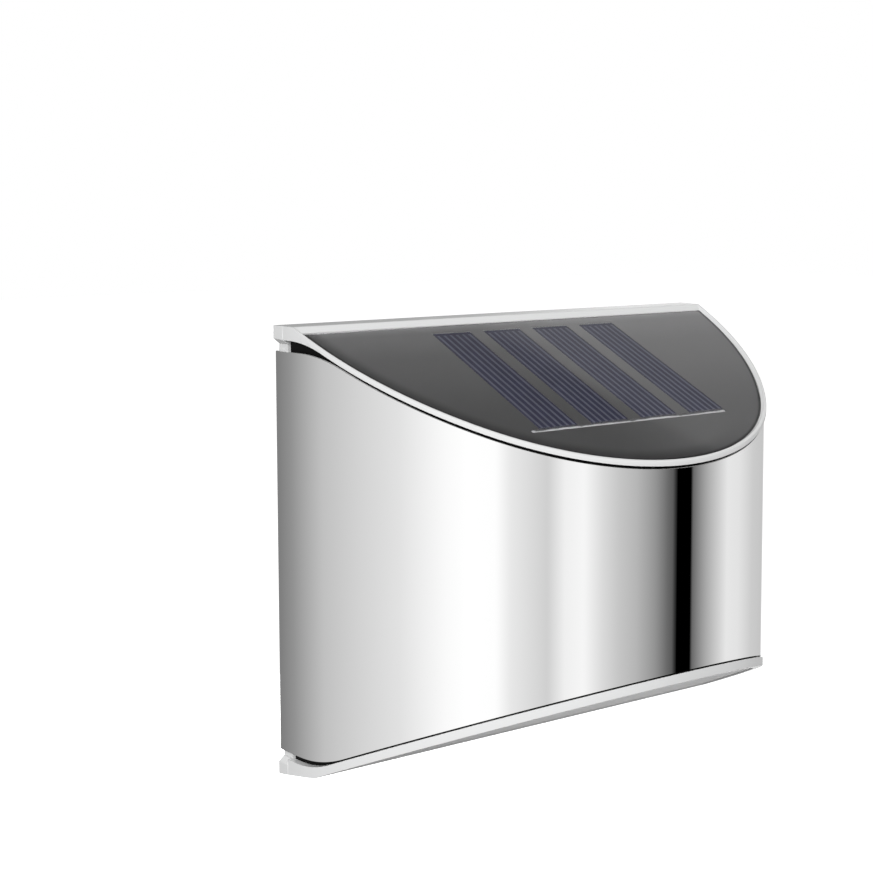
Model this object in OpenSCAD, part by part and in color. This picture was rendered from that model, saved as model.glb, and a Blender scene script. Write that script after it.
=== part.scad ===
// Solar fence light: a half-round steel shade wraps a dark core. A tilted solar panel
// closes the top, and a tilted lens lets the light out below. Millimetres.
// X runs along the wall, +Y points into the wall and +Z up. The origin is the middle
// of the back face, on the wall.

/* [Body] */
// Overall height at the wall
height = 90; // [84:1:100]
// Half width of the steel shade at the wall
shade_half_w = 53.6; // [50:0.1:57]
// How far the steel shade stands out from the wall
shade_depth = 60.7; // [58:0.1:66]
// Angle in plan at which the front arc meets the side arcs, in degrees
arc_join = 47; // [42:1:52]
// Slope of the solar panel and of the lens, in degrees
tilt = 23.65; // [20:0.05:26]

/* [Steel shade] */
// Thickness of the steel sheet
shade_t = 0.5; // [0.4:0.05:0.8]
// Radius that turns the shade's edges from level into the slope
edge_round = 28; // [20:1:34]
// Dark gap above the shade, in front
gap_top_front = 0.84; // [0.5:0.02:1.2]
// Dark gap above the shade, at the wall
gap_top_wall = 2.26; // [1.6:0.02:3]
// Dark gap below the shade, in front
gap_bottom_front = 0.36; // [0.3:0.02:0.9]
// Dark gap below the shade, at the wall
gap_bottom_wall = 1.37; // [0.9:0.01:2]
// Room between the shade and the core, which the mounting pads fill
pad_room = 0.4; // [0.35:0.05:0.8]
// Width of each mounting pad
pad_w = 12; // [8:0.5:16]
// Height of each mounting pad
pad_h = 26; // [16:1:34]

/* [Top and bottom frames] */
// How far the frames' rims stand out past the shade
rim_proud = 0.4; // [0.2:0.05:0.8]
// Height of the top rim's side, in front
top_rim_front = 1; // [0.9:0.05:1.6]
// Height of the top rim's side, at the wall
top_rim_wall = 2.77; // [2.3:0.01:3.2]
// Where the top turns from the level band into the slope, from the wall
top_break = 6.5; // [5.4:0.1:7.8]
// How much the level band at the top falls from the wall to the turn
top_fall = 0; // [0:0.02:0.5]
// Height of the bottom rim's side, in front
bottom_rim_front = 1.84; // [1.6:0.02:2.2]
// Height of the bottom rim's side, at the wall
bottom_rim_wall = 3.66; // [3.4:0.01:4]
// Where the bottom turns from the level band into the slope, from the wall
bottom_break = 11.7; // [10.8:0.1:12.6]
// How much the level band at the bottom rises from the wall to the turn
bottom_rise = 1.95; // [1.6:0.05:2.3]
// Radius that turns the rims' inner edges from level into the slope
rim_round = 23; // [16:1:28]
// How far the frames' square ears stand out past the shade at the wall
ear_out = 0.5; // [0.2:0.05:1]
// Height of an ear's side
ear_side = 2.6; // [2.2:0.05:2.8]
// Height of the slanted face under an ear
ear_slant = 1; // [0.6:0.05:1.2]
// How far the frames' inner ledges reach towards the gaskets
ledge_drop = 1.2; // [0.9:0.05:1.6]

/* [Solar panel] */
// Width of the rim's lip round the panel, seen from above
lip_w = 1.1; // [0.9:0.05:1.4]
// Width of the rim's lip along the level band, behind the panel
rear_lip_w = 1.5; // [1.1:0.05:1.8]
// How deep the smoked cover lies below the lip
cover_sink = 0.5; // [0.3:0.05:0.55]
// Thickness of the smoked cover
cover_t = 0.5; // [0.4:0.05:0.55]
// Length of the solar board, along the wall
board_w = 58; // [56:0.5:60]
// Distance from the shade's front to the solar board
board_inset = 10.8; // [10.2:0.1:11.8]
// Thickness of the solar board
board_t = 1.2; // [0.8:0.1:1.6]
// Distance from the wall to the solar board
board_rear = 10.4; // [10.2:0.1:10.8]
// How far the solar board and its cells sit to the left of the middle
board_shift = 0.1; // [0:0.1:1.5]
// Number of solar cells
cell_count = 4; // [3:1:4]
// Width of one solar cell
cell_w = 9.2; // [7:0.1:10]
// Distance from cell to cell
cell_pitch = 12.7; // [11:0.1:13]
// Distance from the solar board's front edge to the cells
cell_inset = 4.6; // [3.5:0.1:6]
// Thickness of one solar cell
cell_t = 0.3; // [0.2:0.05:0.4]
// Distance from the board's rear edge to the cells
cell_rear = 0.3; // [0.2:0.1:1.6]
// Length of the silver ribbon that joins the cells
ribbon_l = 48.5; // [44:0.5:52]
// Width of the silver ribbon
ribbon_w = 1; // [0.6:0.1:1.3]
// Distance from the cells to the middle of the silver ribbon
ribbon_off = 1; // [0.8:0.1:1.8]
// How far the silver ribbon sits to the left of the cells
ribbon_shift = 1.2; // [0:0.1:1.8]
// Thickness of the tray round the solar board
tray_wall = 1.4; // [1:0.1:1.6]

/* [Light] */
// How far the lens stays inside the shade's outline
lens_inset = 1.6; // [1.5:0.05:2]
// Distance from the wall to the lens
lens_rear = 13.2; // [12.8:0.1:13.6]
// Thickness of the lens
lens_t = 1.6; // [1.2:0.05:1.8]
// How deep the lens lies inside its rim
lens_sink = 0.3; // [0.1:0.05:0.5]
// Width of the ledge that the lens rests on
lens_ledge = 2.9; // [2.2:0.1:3.4]
// Wall of the white reflector
reflector_wall = 1; // [0.8:0.1:1.3]
// Number of lamps in each of the two rows
led_count = 5; // [3:1:6]
// Distance from lamp to lamp
led_pitch = 10; // [8.5:0.1:10]
// Distance between the two rows of lamps
led_row_gap = 14; // [10:0.5:17]
// Side of one square lamp
led_side = 3.2; // [2.6:0.1:3.6]
// Height of one lamp
led_h = 0.8; // [0.5:0.05:1]
// Width of the lamp board, along the wall
led_board_w = 62; // [60:0.5:66]
// Length of the lamp board, away from the wall
led_board_l = 27; // [25:0.5:30]
// Distance from the wall to the lamp board
led_board_rear = 15.5; // [14.5:0.5:17]

/* [Core] */
// Thickness of the back plate
back_t = 3.3; // [3:0.05:3.6]
// Wall of the dark core
core_wall = 2; // [1.9:0.05:2.4]
// Outer lip of the core's wall, which hides the gaskets
core_lip = 0.6; // [0.5:0.02:0.7]
// Thickness of the shelf across the core
shelf_t = 2; // [1.8:0.1:2.4]
// Height of the shelf's upper face, measured from the middle
shelf_z = -6; // [-7:0.5:-5]
// Thickness of all the seals
seal_t = 0.8; // [0.6:0.05:1]
// Width of all the seals
seal_w = 1; // [0.9:0.05:1.1]
// Play between neighbouring pieces
play = 0.15; // [0.1:0.01:0.2]

/* [Hanging holes] */
// Distance between the two keyholes
key_pitch = 60; // [58:0.5:63]
// Radius of the round part of a keyhole
key_r = 4.3; // [4.1:0.05:4.6]
// Half width of the slot of a keyhole
key_slot_r = 2.3; // [2.15:0.05:2.5]
// Length from the round part's centre to the slot's end centre
key_drop = 8; // [7:0.5:9]
// Height of the round part's centre, measured from the middle
key_z = 15; // [14:0.5:17]
// Thickness of the lip that a screw head hooks behind
key_lip = 1.6; // [1.4:0.1:1.8]
// Depth of the pocket behind that lip
key_pocket = 4.6; // [4.5:0.1:5]
// Wall of the closed pocket
key_wall = 1.2; // [1:0.1:1.4]

/* [Electrics] */
// Diameter of the battery
battery_d = 14.3; // [13.8:0.1:14.5]
// Length of the battery without its button
battery_l = 49; // [47:0.5:50]
// Distance from the wall to the battery's axis
battery_q = 31; // [29:0.5:33]
// Room for the battery's spring
spring_room = 5; // [4.5:0.1:6]
// Thickness of the battery's contact plate
contact_t = 0.5; // [0.3:0.05:0.8]
// Wall of the battery holder
holder_wall = 1.5; // [1.2:0.1:1.8]
// Width of the control board
control_w = 40; // [38:0.5:42]
// Height of the control board
control_h = 22; // [20:0.5:24]
// Distance from the shelf up to the control board
control_lift = 5; // [4:0.5:7]
// Thickness of the control board and of the lamp board
pcb_t = 1.6; // [1.2:0.1:1.6]
// Height of the posts that carry the control board
post_h = 4.2; // [4.1:0.05:4.5]
// Radius of the insulated leads
lead_r = 0.6; // [0.45:0.05:0.7]

/* [Switch] */
// Travel of the slide switch
switch_travel = 2.5; // [1.8:0.1:2.8]
// Width of the switch's cap
cap_w = 3.6; // [3.2:0.1:4]
// Height of the switch's cap
cap_h = 3; // [2.6:0.1:3.4]
// Depth of the finger recess round the cap
recess_depth = 1.9; // [1.7:0.05:2]
// Play round the moving slider
slide_play = 0.3; // [0.25:0.01:0.35]

/* [Fasteners] */
// Radius of a housing screw's shank
screw_r = 1.3; // [1.2:0.05:1.5]
// Radius of a housing screw's head
screw_head_r = 2.7; // [2.4:0.05:2.9]
// Height of a housing screw's head
screw_head_h = 1.6; // [1.4:0.05:1.7]
// Length of a housing screw's shank
screw_l = 8; // [7:0.5:8.5]
// Radius of the bosses that take the housing screws
boss_r = 3.2; // [3:0.05:3.4]
// Radius of a board screw's shank
small_screw_r = 0.9; // [0.8:0.05:1]
// Radius of a board screw's head
small_head_r = 1.8; // [1.6:0.05:2]
// Height of a board screw's head
small_head_h = 1.2; // [1:0.05:1.3]
// Length of a board screw's shank
small_screw_l = 4; // [3.4:0.1:4.4]
// Wall round a sunk screw head
head_wall = 0.55; // [0.5:0.05:0.7]
// Wall round a board screw's hole in its post
post_wall = 1.65; // [1.2:0.05:1.9]
// How far the bosses reach past the core's back wall
boss_l = 5; // [4.6:0.1:6]
// How far the housing screws sit inside the shade's sides
boss_inset = 9.6; // [9:0.1:11]
// How far the upper housing screws sit below the top
boss_drop = 15; // [14:0.5:17]
// How far the rear panel screws sit inside the shade's sides
panel_screw_inset = 15.6; // [15:0.1:17]
// Distance from the wall to the rear panel screws
panel_screw_q = 14.2; // [13.6:0.1:15]
// How far the front panel screw sits behind the shade's front
panel_screw_back = 6.5; // [6.4:0.1:7.5]
// How far the bottom screws sit inside the shade's sides
bottom_screw_inset = 13.6; // [13:0.1:15]
// Distance from the core's back wall to the bottom screws
bottom_screw_off = 1.6; // [1.5:0.05:1.8]

/* [Hidden] */
$fn = 64;

// Heights and slopes, measured from the middle of the light
half_h = height / 2;
slope = tan(tilt);
lean = cos(tilt);
top_plane = half_h - top_fall + slope * top_break;
bottom_plane = half_h - bottom_rise + slope * bottom_break;
wide = 2 * shade_half_w;
cut = 1;
reach = 10;
far = shade_depth + reach;

// Plan of the shade: one front arc and two side arcs that meet without a corner
arc_step = (shade_depth - shade_half_w) / (sin(arc_join) + cos(arc_join) - 1);
side_r = shade_half_w + arc_step * sin(arc_join);
front_r = shade_depth - arc_step * cos(arc_join);
side_x = side_r - shade_half_w;
front_q = shade_depth - front_r;

// Insets of the shells from the shade's outer face
core_off = -shade_t - pad_room;
ledge_off = core_off - core_lip - play;
core_in = core_off - core_wall;
lip_off = rim_proud - lip_w;
cover_rear = top_break + rear_lip_w + play;

// Places along the depth, from the wall
core_rear = back_t + seal_t;
wall_front = core_rear + core_wall;
post_half = half_width(-shade_t, back_t) - play;
block_z = half_h - ear_side - ear_slant;

// Depths below the top plane, square to the slope
cover_low = cover_sink + cover_t;
board_high = cover_low + cell_t;
board_low = board_high + board_t;
tray_low = board_low + tray_wall;
board_x = -board_shift;
board_front = shade_depth - board_inset;
cell_front = board_front - cell_inset;
ribbon_x = board_x - ribbon_shift;
ribbon_q = cell_front + ribbon_off;

// Screw places
shelf_mid = shelf_z - shelf_t / 2;
boss_x = shade_half_w - boss_inset;
boss_z_high = half_h - boss_drop;
boss_front = wall_front + boss_l;
panel_screw_x = shade_half_w - panel_screw_inset;
panel_points = [[-panel_screw_x, panel_screw_q], [panel_screw_x, panel_screw_q],
                [0, shade_depth - panel_screw_back]];
post_r = screw_head_r + play + head_wall;
post_floor = 1.4;
post_reach = 1.25;
bottom_screw_x = shade_half_w - bottom_screw_inset;
bottom_screw_q = wall_front + bottom_screw_off;
bottom_head_z = half_h - bottom_rise - screw_head_h;
bottom_seat_z = half_h - bottom_rim_wall - ledge_drop - seal_t;
reflector_rear = boss_front + play;

// The keyholes' pockets, and the window in the core's back wall that they reach through
key_front = key_lip + key_pocket + key_wall;
window_room = 1;
window_w = key_pitch + 2 * (key_r + key_wall + window_room);
window_h = boss_z_high - shelf_z - control_lift + window_room;

// The upper chamber
holder_in_l = battery_l + spring_room + contact_t;
holder_in_w = battery_d + 4 * play;
battery_z = shelf_z + holder_wall + battery_d / 2 + play;
battery_x0 = -holder_in_l / 2 + spring_room;
control_rear = back_t + post_h;
control_front = control_rear + pcb_t;
screw_margin = 3;
control_z = shelf_z + control_lift + control_h / 2;
control_post_x = control_w / 2 - screw_margin;
control_post_z = control_z + control_h / 2 - screw_margin;
control_post_r = small_screw_r + play + post_wall;
button_r = 2.7;
button_l = 1;
contact_side = 9;

// Chips on the control board: width, height, place in x, height above its middle, thickness
chips = [[5, 4, -5, 5, 1.6], [3, 3, 4, 6, 1.1], [2, 1.2, -9.5, 4, 0.6], [2, 1.2, 9, 1, 0.6]];
parts_drop = 4;
inductor_x = -4;
inductor_r = 3.6;
inductor_bore = 1.6;
inductor_h = 4;
capacitor_x = 6;
capacitor_r = 2.5;
capacitor_h = 7;

// The slide switch, whose cap slides in a finger recess and whose base slides in its body
switch_z = control_z - 2;
finger_room = 1.5;
cap_sink = 0.6;
groove_w = 0.4;
groove_t = 0.25;
stem_w = 1.6;
stem_h = 1.4;
base_w = 3;
base_h = 2.4;
base_t = 1;
switch_wall = 0.7;
switch_gap = 0.5;
slot_w = stem_w + switch_travel + 2 * slide_play;
slot_h = stem_h + 2 * slide_play;
base_room_w = base_w + switch_travel + 2 * slide_play;
base_room_h = base_h + 2 * slide_play;
switch_rear = back_t + switch_gap;
base_rear = switch_rear + switch_wall + slide_play;
rest_x = -switch_travel / 2;

// The lower chamber
led_z = shelf_z - shelf_t - pcb_t;
led_row_q = led_board_rear + led_board_l / 2;
led_screw_x = led_board_w / 2 - screw_margin;
led_screw_l = small_screw_l - 1;
reflector_top = 1.2;
gasket_inset = 1.5;

// Routes of the leads, as x, distance from the wall and height
lead_gap = 1;
lead_room = 1.2;
lead_hole_r = lead_gap + lead_r + lead_room;
lead_x = -8;
lead_q = 22;
lead_top = top_plane - slope * (lead_q + lead_r) - board_low / lean - play;
panel_route = [[lead_x, lead_q, lead_top], [lead_x, lead_q, lead_top - 4], [-9, 19, lead_top - 9],
               [-12, 13, control_z + 6], [-13, control_front + 2, control_z + 3],
               [-13, control_front, control_z + 3]];
lamp_x = 24;
lamp_q = 21;
lamp_route = [[lamp_x, lamp_q, shelf_z - shelf_t], [lamp_x, lamp_q, shelf_z + 2],
              [21, 17, control_z - 9], [16, 13, control_z - 7],
              [14, control_front + 2, control_z - 7], [14, control_front, control_z - 7]];
plate_x = holder_in_l / 2 - contact_t / 2;
holder_rear = battery_q - holder_in_w / 2 - holder_wall;
tab_z = battery_z + 3;
minus_route = [[-plate_x, battery_q - 5, tab_z], [-plate_x, holder_rear - 2, tab_z],
               [-24, 16, tab_z + 2], [-18, 13, control_z - 4],
               [-16, control_front + 2, control_z - 5], [-16, control_front, control_z - 5]];
plus_route = [[plate_x, battery_q - 5, tab_z], [plate_x, holder_rear - 2, tab_z],
              [24, 16, tab_z + 4], [17, 13, control_z + 1],
              [15, control_front + 2, control_z + 2], [15, control_front, control_z + 2]];

// Half width of the plan, offset outwards, at a distance from the wall
function half_width(off, q) = sqrt(pow(side_r + off, 2) - q * q) - side_x;

// Edge of a shell in side view: level at the wall, then an arc, then the slope
function edge(wall_z, front_z, r, steps = 8) =
    let (turn = (front_z - wall_z) / slope, t = r * tan(tilt / 2))
    concat([[0, wall_z]],
           [for (i = [0:steps]) let (a = tilt * i / steps)
               [turn - t + r * sin(a), wall_z - r + r * cos(a)]],
           [[far, front_z - slope * far]]);

// A straight line in side view, at a depth square to the slope
function slope_line(plane, depth, q0 = 0) =
    let (z = plane - depth / lean) [[q0, z - slope * q0], [far, z - slope * far]];

// The crowned outer face of a frame in side view
function crown(turn, fall, plane) =
    [[0, half_h], [turn, half_h - fall], [far, plane - slope * far]];

function flip(points) = [for (p = points) [-p[0], p[1]]];
function reversed(points) = [for (i = [len(points) - 1:-1:0]) points[i]];
function low(points) = [for (p = points) [-p[0], -p[1]]];

top_under = edge(half_h - top_rim_wall, top_plane - top_rim_front, rim_round);
bottom_under = edge(half_h - bottom_rim_wall, bottom_plane - bottom_rim_front, rim_round);
top_ledge = edge(half_h - top_rim_wall - ledge_drop,
                 top_plane - top_rim_front - ledge_drop, rim_round);
bottom_ledge = edge(half_h - bottom_rim_wall - ledge_drop,
                    bottom_plane - bottom_rim_front - ledge_drop, rim_round);
top_seat = edge(half_h - top_rim_wall - ledge_drop - seal_t,
                top_plane - top_rim_front - ledge_drop - seal_t, rim_round);
bottom_seat = edge(half_h - bottom_rim_wall - ledge_drop - seal_t,
                   bottom_plane - bottom_rim_front - ledge_drop - seal_t, rim_round);

// Smooth curve through a lead's points
function curve_at(p, i, t) =
    let (a = p[max(i - 1, 0)], b = p[i], c = p[i + 1], d = p[min(i + 2, len(p) - 1)])
    0.5 * (2 * b + (c - a) * t + (2 * a - 5 * b + 4 * c - d) * t * t
           + (3 * b - a - 3 * c + d) * t * t * t);
function smooth(p, steps) =
    concat([for (i = [0:len(p) - 2], k = [0:steps - 1]) curve_at(p, i, k / steps)],
           [p[len(p) - 1]]);
function unit(v) = v / norm(v);

module along_x(length) {
    rotate([90, 0, 90]) translate([0, 0, -length / 2]) linear_extrude(length) children();
}

// Moves a piece to a place given as x, distance from the wall and height
module at(x, q, z) {
    translate([x, -q, z]) children();
}

// A cylinder that runs away from the wall
module rod(r, length) {
    rotate([90, 0, 0]) cylinder(r = r, h = length);
}

// A block given by its middle in x and z and by its rear and front
module block(w, h, x, z, rear, front) {
    translate([x - w / 2, -front, z - h / 2]) cube([w, front - rear, h]);
}

// Plan of the light, offset outwards
module plan(off) {
    intersection() {
        translate([side_x, 0]) circle(side_r + off);
        translate([-side_x, 0]) circle(side_r + off);
        union() {
            translate([0, -front_q]) circle(front_r + off);
            translate([-wide, -front_q - (front_r + off) * cos(arc_join)])
                square([2 * wide, far]);
        }
    }
}

// The part of the plan that lies in front of a line along the wall
module d_shape(off, rear) {
    intersection() {
        plan(off);
        translate([-wide, -far]) square([2 * wide, far - rear]);
    }
}

module d_ring(off, wall, rear) {
    difference() {
        d_shape(off, rear);
        d_shape(off - wall, rear + wall);
    }
}

module tall() {
    linear_extrude(2 * height, center = true) children();
}

// Everything between an upper edge and a lower edge in side view
module between(upper, lower) {
    along_x(2 * wide) polygon(concat(flip(upper), reversed(low(lower))));
}

// A sloped layer between two edges of the upper half
module layer(upper, lower) {
    along_x(2 * wide) polygon(concat(flip(upper), reversed(flip(lower))));
}

// Everything above an edge
module above(lower) {
    layer([[lower[0][0], height], [far, height]], lower);
}

module bottom() {
    mirror([0, 0, 1]) children();
}

// Square ears and the block behind a frame's rim, in front view
module ear_block() {
    half = shade_half_w + ear_out;
    rotate([90, 0, 0]) linear_extrude(back_t) polygon([
        [-half, half_h], [-half, half_h - ear_side], [-post_half, block_z],
        [post_half, block_z], [half, half_h - ear_side], [half, half_h]]);
}

// Rim, ears and inner ledge that the top and the bottom frame share
module frame_body(face, under, ledge) {
    intersection() {
        union() {
            intersection() {
                tall() d_shape(rim_proud, back_t);
                above(under);
            }
            intersection() {
                tall() d_shape(ledge_off, core_rear + core_lip + play);
                above(ledge);
            }
            ear_block();
        }
        layer(face, [[0, 0], [far, -height]]);
    }
}

// Space of the solar board, grown by some room, whose front corners follow the plan
module board_room(room, off) {
    intersection() {
        block(board_w + 2 * room, 2 * height, board_x, 0, board_rear - room, board_front + room);
        tall() d_shape(off, 0);
        children();
    }
}

// Height of the flat end of the pillar under the panel tray at a screw
function panel_seat(q) = top_plane - slope * (q + post_r) - tray_low / lean - post_reach;

// A pan-head screw that points down, with its seat at the origin
module screw(r, head_r, head_h, length) {
    difference() {
        union() {
            cylinder(r = head_r, h = head_h);
            translate([0, 0, -length]) cylinder(r = r, h = length + head_h / 2);
        }
        for (a = [0, 90]) rotate([0, 0, a])
            translate([-head_r * 0.6, -head_r * 0.14, head_h * 0.45])
                cube([head_r * 1.2, head_r * 0.28, head_h]);
    }
}

module panel_screw_places() {
    for (p = panel_points) at(p[0], p[1], panel_seat(p[1])) children();
}

module bottom_screw_places() {
    for (s = [-1, 1]) at(s * bottom_screw_x, bottom_screw_q, 0) children();
}

module boss_places() {
    for (s = [-1, 1], z = [shelf_mid, boss_z_high]) at(s * boss_x, 0, z) children();
}

module control_post_places() {
    for (s = [-1, 1]) at(s * control_post_x, 0, control_post_z) children();
}

module led_places() {
    for (row = [-1, 1], i = [0:led_count - 1])
        at((i - (led_count - 1) / 2) * led_pitch, led_row_q + row * led_row_gap / 2, led_z)
            children();
}

module led_screw_places() {
    for (s = [-1, 1]) at(s * led_screw_x, led_row_q, led_z) children();
}

module keyhole_places() {
    for (s = [-1, 1]) at(s * key_pitch / 2, 0, key_z) children();
}

// A tube swept along a route given as x, distance from the wall and height, moved along x
module lead(route, shift, ref, sides = 8, steps = 3) {
    path = [for (p = smooth(route, steps)) [p[0] + shift, -p[1], p[2]]];
    last = len(path) - 1;
    knots = len(route) - 1;
    ends = [for (d = [route[1] - route[0], route[knots] - route[knots - 1]]) [d[0], -d[1], d[2]]];
    rings = [for (i = [0:last])
        let (t = i == 0 ? ends[0] : i == last ? ends[1] : path[i + 1] - path[i - 1],
             u = unit(cross(t, ref)), v = unit(cross(t, u)))
        [for (k = [0:sides - 1])
            path[i] + lead_r * (cos(360 * k / sides) * u + sin(360 * k / sides) * v)]];
    polyhedron(
        points = [for (ring = rings) each ring],
        faces = concat(
            [[for (k = [0:sides - 1]) k]],
            [[for (k = [sides - 1:-1:0]) last * sides + k]],
            [for (i = [0:last - 1], k = [0:sides - 1]) let (n = (k + 1) % sides)
                each [[i * sides + n, i * sides + k, (i + 1) * sides + k],
                      [i * sides + n, (i + 1) * sides + k, (i + 1) * sides + n]]]));
}

module back_plate() {
    color("#e9eaea") difference() {
        union() {
            block(2 * post_half, 2 * block_z, 0, 0, 0, back_t);
            keyhole_places() {
                for (z = [0, key_drop]) at(0, 0, z) rod(key_r + key_wall, key_front);
                block(2 * (key_r + key_wall), key_drop, 0, key_drop / 2, 0, key_front);
            }
            control_post_places() rod(control_post_r, control_rear);
        }
        keyhole_places() {
            at(0, -cut, 0) rod(key_r, key_lip + key_pocket + cut);
            at(0, key_lip, key_drop) rod(key_r, key_pocket);
            block(2 * key_r, key_drop, 0, key_drop / 2, key_lip, key_lip + key_pocket);
            block(2 * key_slot_r, key_drop, 0, key_drop / 2, -cut, key_lip + cut);
            at(0, -cut, key_drop) rod(key_slot_r, key_lip + 2 * cut);
        }
        boss_places() at(0, -cut, 0) {
            rod(screw_head_r + play, screw_head_h + play + cut);
            rod(screw_r + play, back_t + 2 * cut);
        }
        control_post_places() at(0, control_rear - small_screw_l - play, 0)
            rod(small_screw_r + play, small_screw_l + cut);
        block(switch_travel + cap_w + 2 * finger_room, cap_h + 2 * finger_room, 0, switch_z,
              -cut, recess_depth);
        block(slot_w, slot_h, 0, switch_z, -cut, back_t + cut);
    }
}

module core_housing() {
    color("#1d1e20") difference() {
        union() {
            intersection() {
                tall() d_ring(core_off, core_wall, core_rear);
                between([for (p = top_under) p - [0, play]], [for (p = bottom_under) p - [0, play]]);
            }
            translate([0, 0, shelf_z - shelf_t]) linear_extrude(shelf_t)
                d_shape(core_off - core_wall / 2, core_rear + core_wall / 2);
            boss_places() at(0, core_rear + core_wall / 2, 0)
                rod(boss_r, boss_front - core_rear - core_wall / 2);
            for (p = panel_points) at(p[0], p[1], shelf_mid)
                cylinder(r = post_r, h = panel_seat(p[1]) - shelf_mid);
            bottom_screw_places() translate([0, 0, -bottom_seat_z])
                cylinder(r = boss_r, h = bottom_seat_z + shelf_mid);
        }
        intersection() {
            tall() d_shape(core_off - core_lip, core_rear + core_lip);
            above(top_seat);
        }
        bottom() intersection() {
            tall() d_shape(core_off - core_lip, core_rear + core_lip);
            above(bottom_seat);
        }
        block(window_w, window_h, 0, boss_z_high - window_h / 2, core_rear - cut, wall_front + cut);
        boss_places() at(0, core_rear - cut, 0)
            rod(screw_r + play, boss_front - core_rear + 2 * cut);
        panel_screw_places() translate([0, 0, -screw_l - play])
            cylinder(r = screw_r + play, h = screw_l + play + cut);
        bottom_screw_places() translate([0, 0, -half_h])
            cylinder(r = screw_r + play, h = half_h - bottom_head_z + screw_l + play);
        at(lamp_x, lamp_q, shelf_z - shelf_t - cut)
            cylinder(r = lead_hole_r, h = shelf_t + 2 * cut);
        led_screw_places() cylinder(r = small_screw_r + play, h = pcb_t + small_screw_l);
    }
}

module top_frame() {
    color("#eeefef") difference() {
        union() {
            frame_body(crown(top_break, top_fall, top_plane), top_under, top_ledge);
            board_room(play + tray_wall, core_in - play)
                layer(slope_line(top_plane, cover_low + play), slope_line(top_plane, tray_low));
            intersection() {
                union() panel_screw_places() cylinder(r = post_r, h = height);
                layer(slope_line(top_plane, cover_low + play), [[0, 0], [far, 0]]);
            }
        }
        intersection() {
            tall() d_shape(lip_off, cover_rear - play);
            layer(slope_line(top_plane, -cut), slope_line(top_plane, cover_low));
        }
        board_room(play, core_in - play - tray_wall / 2)
            layer(slope_line(top_plane, 0), slope_line(top_plane, board_low));
        panel_screw_places() {
            translate([0, 0, -cut]) cylinder(r = screw_r + play, h = height);
            translate([0, 0, post_floor]) cylinder(r = screw_head_r + play, h = height);
        }
        at(lead_x, lead_q, 0) cylinder(r = lead_hole_r, h = height);
    }
}

module bottom_frame() {
    color("#e6e7e8") bottom() difference() {
        frame_body(crown(bottom_break, bottom_rise, bottom_plane), bottom_under, bottom_ledge);
        intersection() {
            tall() d_shape(-lens_inset, lens_rear - play);
            above(slope_line(bottom_plane, lens_sink + lens_t));
        }
        tall() d_shape(-lens_inset - lens_ledge, lens_rear + lens_ledge);
        bottom_screw_places() {
            cylinder(r = screw_r + play, h = height);
            translate([0, 0, bottom_head_z]) cylinder(r = screw_head_r + play, h = height);
        }
    }
}

module steel_shade() {
    top_edge = edge(half_h - top_rim_wall - gap_top_wall,
                    top_plane - top_rim_front - gap_top_front, edge_round);
    bottom_edge = edge(half_h - bottom_rim_wall - gap_bottom_wall,
                       bottom_plane - bottom_rim_front - gap_bottom_front, edge_round);
    color("#c9ccd0") intersection() {
        tall() difference() {
            d_shape(0, 0);
            plan(-shade_t);
        }
        between(top_edge, bottom_edge);
    }
}

module shade_pads() {
    color("#2a2a2c") for (a = [-60, 0, 60]) intersection() {
        translate([0, 0, -pad_h / 2]) linear_extrude(pad_h) difference() {
            plan(-shade_t - play / 3);
            plan(core_off + play / 3);
        }
        at(0, front_q, 0) rotate([0, 0, a]) block(pad_w, height, 0, 0, 0, far);
    }
}

module top_gasket() {
    color("#161616") intersection() {
        tall() d_ring(ledge_off, seal_w, core_rear + core_lip + play);
        layer(top_ledge, top_seat);
    }
}

module bottom_gasket() {
    color("#161616") bottom() intersection() {
        tall() d_ring(ledge_off, seal_w, core_rear + core_lip + play);
        layer(bottom_ledge, bottom_seat);
    }
}

module rear_gasket() {
    w = 2 * (half_width(core_off, core_rear) - gasket_inset);
    h = 2 * bottom_seat_z;
    color("#161616") difference() {
        block(w, h, 0, 0, back_t, core_rear);
        block(w - 2 * seal_w, h - 2 * seal_w, 0, 0, back_t - cut, core_rear + cut);
    }
}

module panel_cover() {
    color("#3f4246") intersection() {
        tall() d_shape(lip_off - play, cover_rear);
        layer(slope_line(top_plane, cover_sink), slope_line(top_plane, cover_low));
    }
}

module solar_cells() {
    color("#2e2f47") for (i = [0:cell_count - 1]) intersection() {
        block(cell_w, 2 * height, board_x + (i - (cell_count - 1) / 2) * cell_pitch, 0,
              board_rear + cell_rear, cell_front);
        layer(slope_line(top_plane, cover_low), slope_line(top_plane, board_high));
    }
}

module bus_ribbon() {
    color("#c3c5c9") intersection() {
        block(ribbon_l, 2 * height, ribbon_x, 0, ribbon_q - ribbon_w / 2, ribbon_q + ribbon_w / 2);
        layer(slope_line(top_plane, board_high - cell_t / 2), slope_line(top_plane, board_high));
    }
}

module panel_board() {
    color("#33353a") board_room(0, core_in - 2 * play - tray_wall / 2)
        layer(slope_line(top_plane, board_high), slope_line(top_plane, board_low));
}

module panel_screws() {
    color("#a9acb0") panel_screw_places() translate([0, 0, post_floor])
        screw(screw_r, screw_head_r, screw_head_h, screw_l);
}

module light_lens() {
    color("#eceee9") bottom() intersection() {
        tall() d_shape(-lens_inset - play, lens_rear);
        layer(slope_line(bottom_plane, lens_sink), slope_line(bottom_plane, lens_sink + lens_t));
    }
}

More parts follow.
